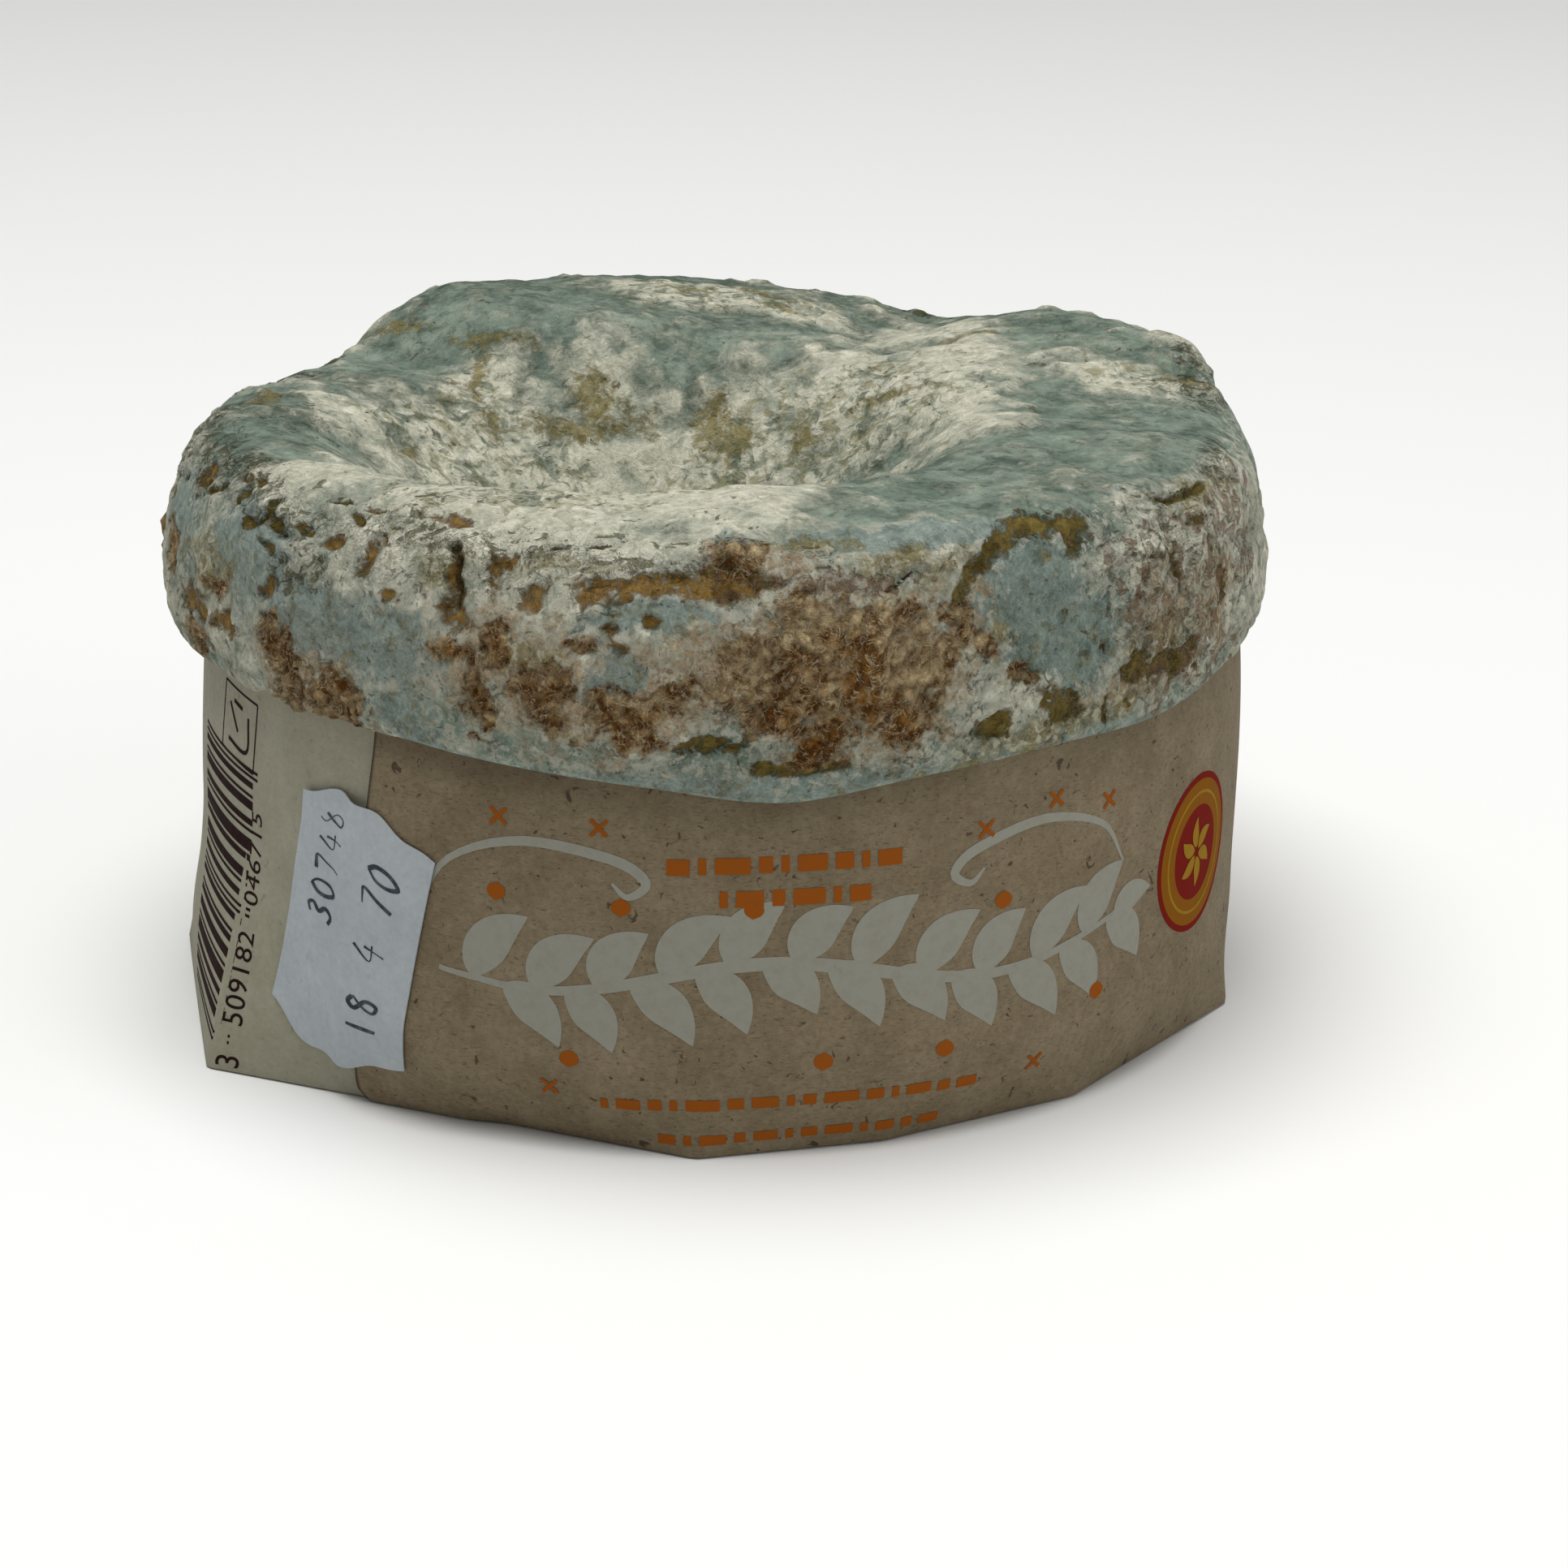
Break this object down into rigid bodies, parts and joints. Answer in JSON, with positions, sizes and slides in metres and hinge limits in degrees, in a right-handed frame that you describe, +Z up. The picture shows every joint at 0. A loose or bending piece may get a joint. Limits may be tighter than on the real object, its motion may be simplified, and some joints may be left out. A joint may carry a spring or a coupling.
{
  "type": "cebreiro cheese",
  "caption": "Whole ripened soft cheese shaped like a chef's hat: a squat stalk in folded paper bands under a wide crusty cap with a sunken top.",
  "frame": {"origin": "Middle of the foot, on the surface that it stands on.", "axes": "+Z up; -Y the printed front, with the seam and the sticker at its left; +X to the right as seen from the front."},
  "size_m": [0.1068, 0.1071, 0.0606],
  "materials": {
    "rind": "matte crust with a dusty grey-green and cream bloom",
    "kraft_paper": "matte uncoated kraft paper",
    "cream_paper": "smooth cream paper",
    "sticker_paper": "matte bluish-white label paper"
  },
  "bodies": {
    "root": {"cheese": "rind", "kraft_band": "kraft_paper", "cream_band": "cream_paper", "lot_sticker": "sticker_paper"}
  },
  "joints": []
}
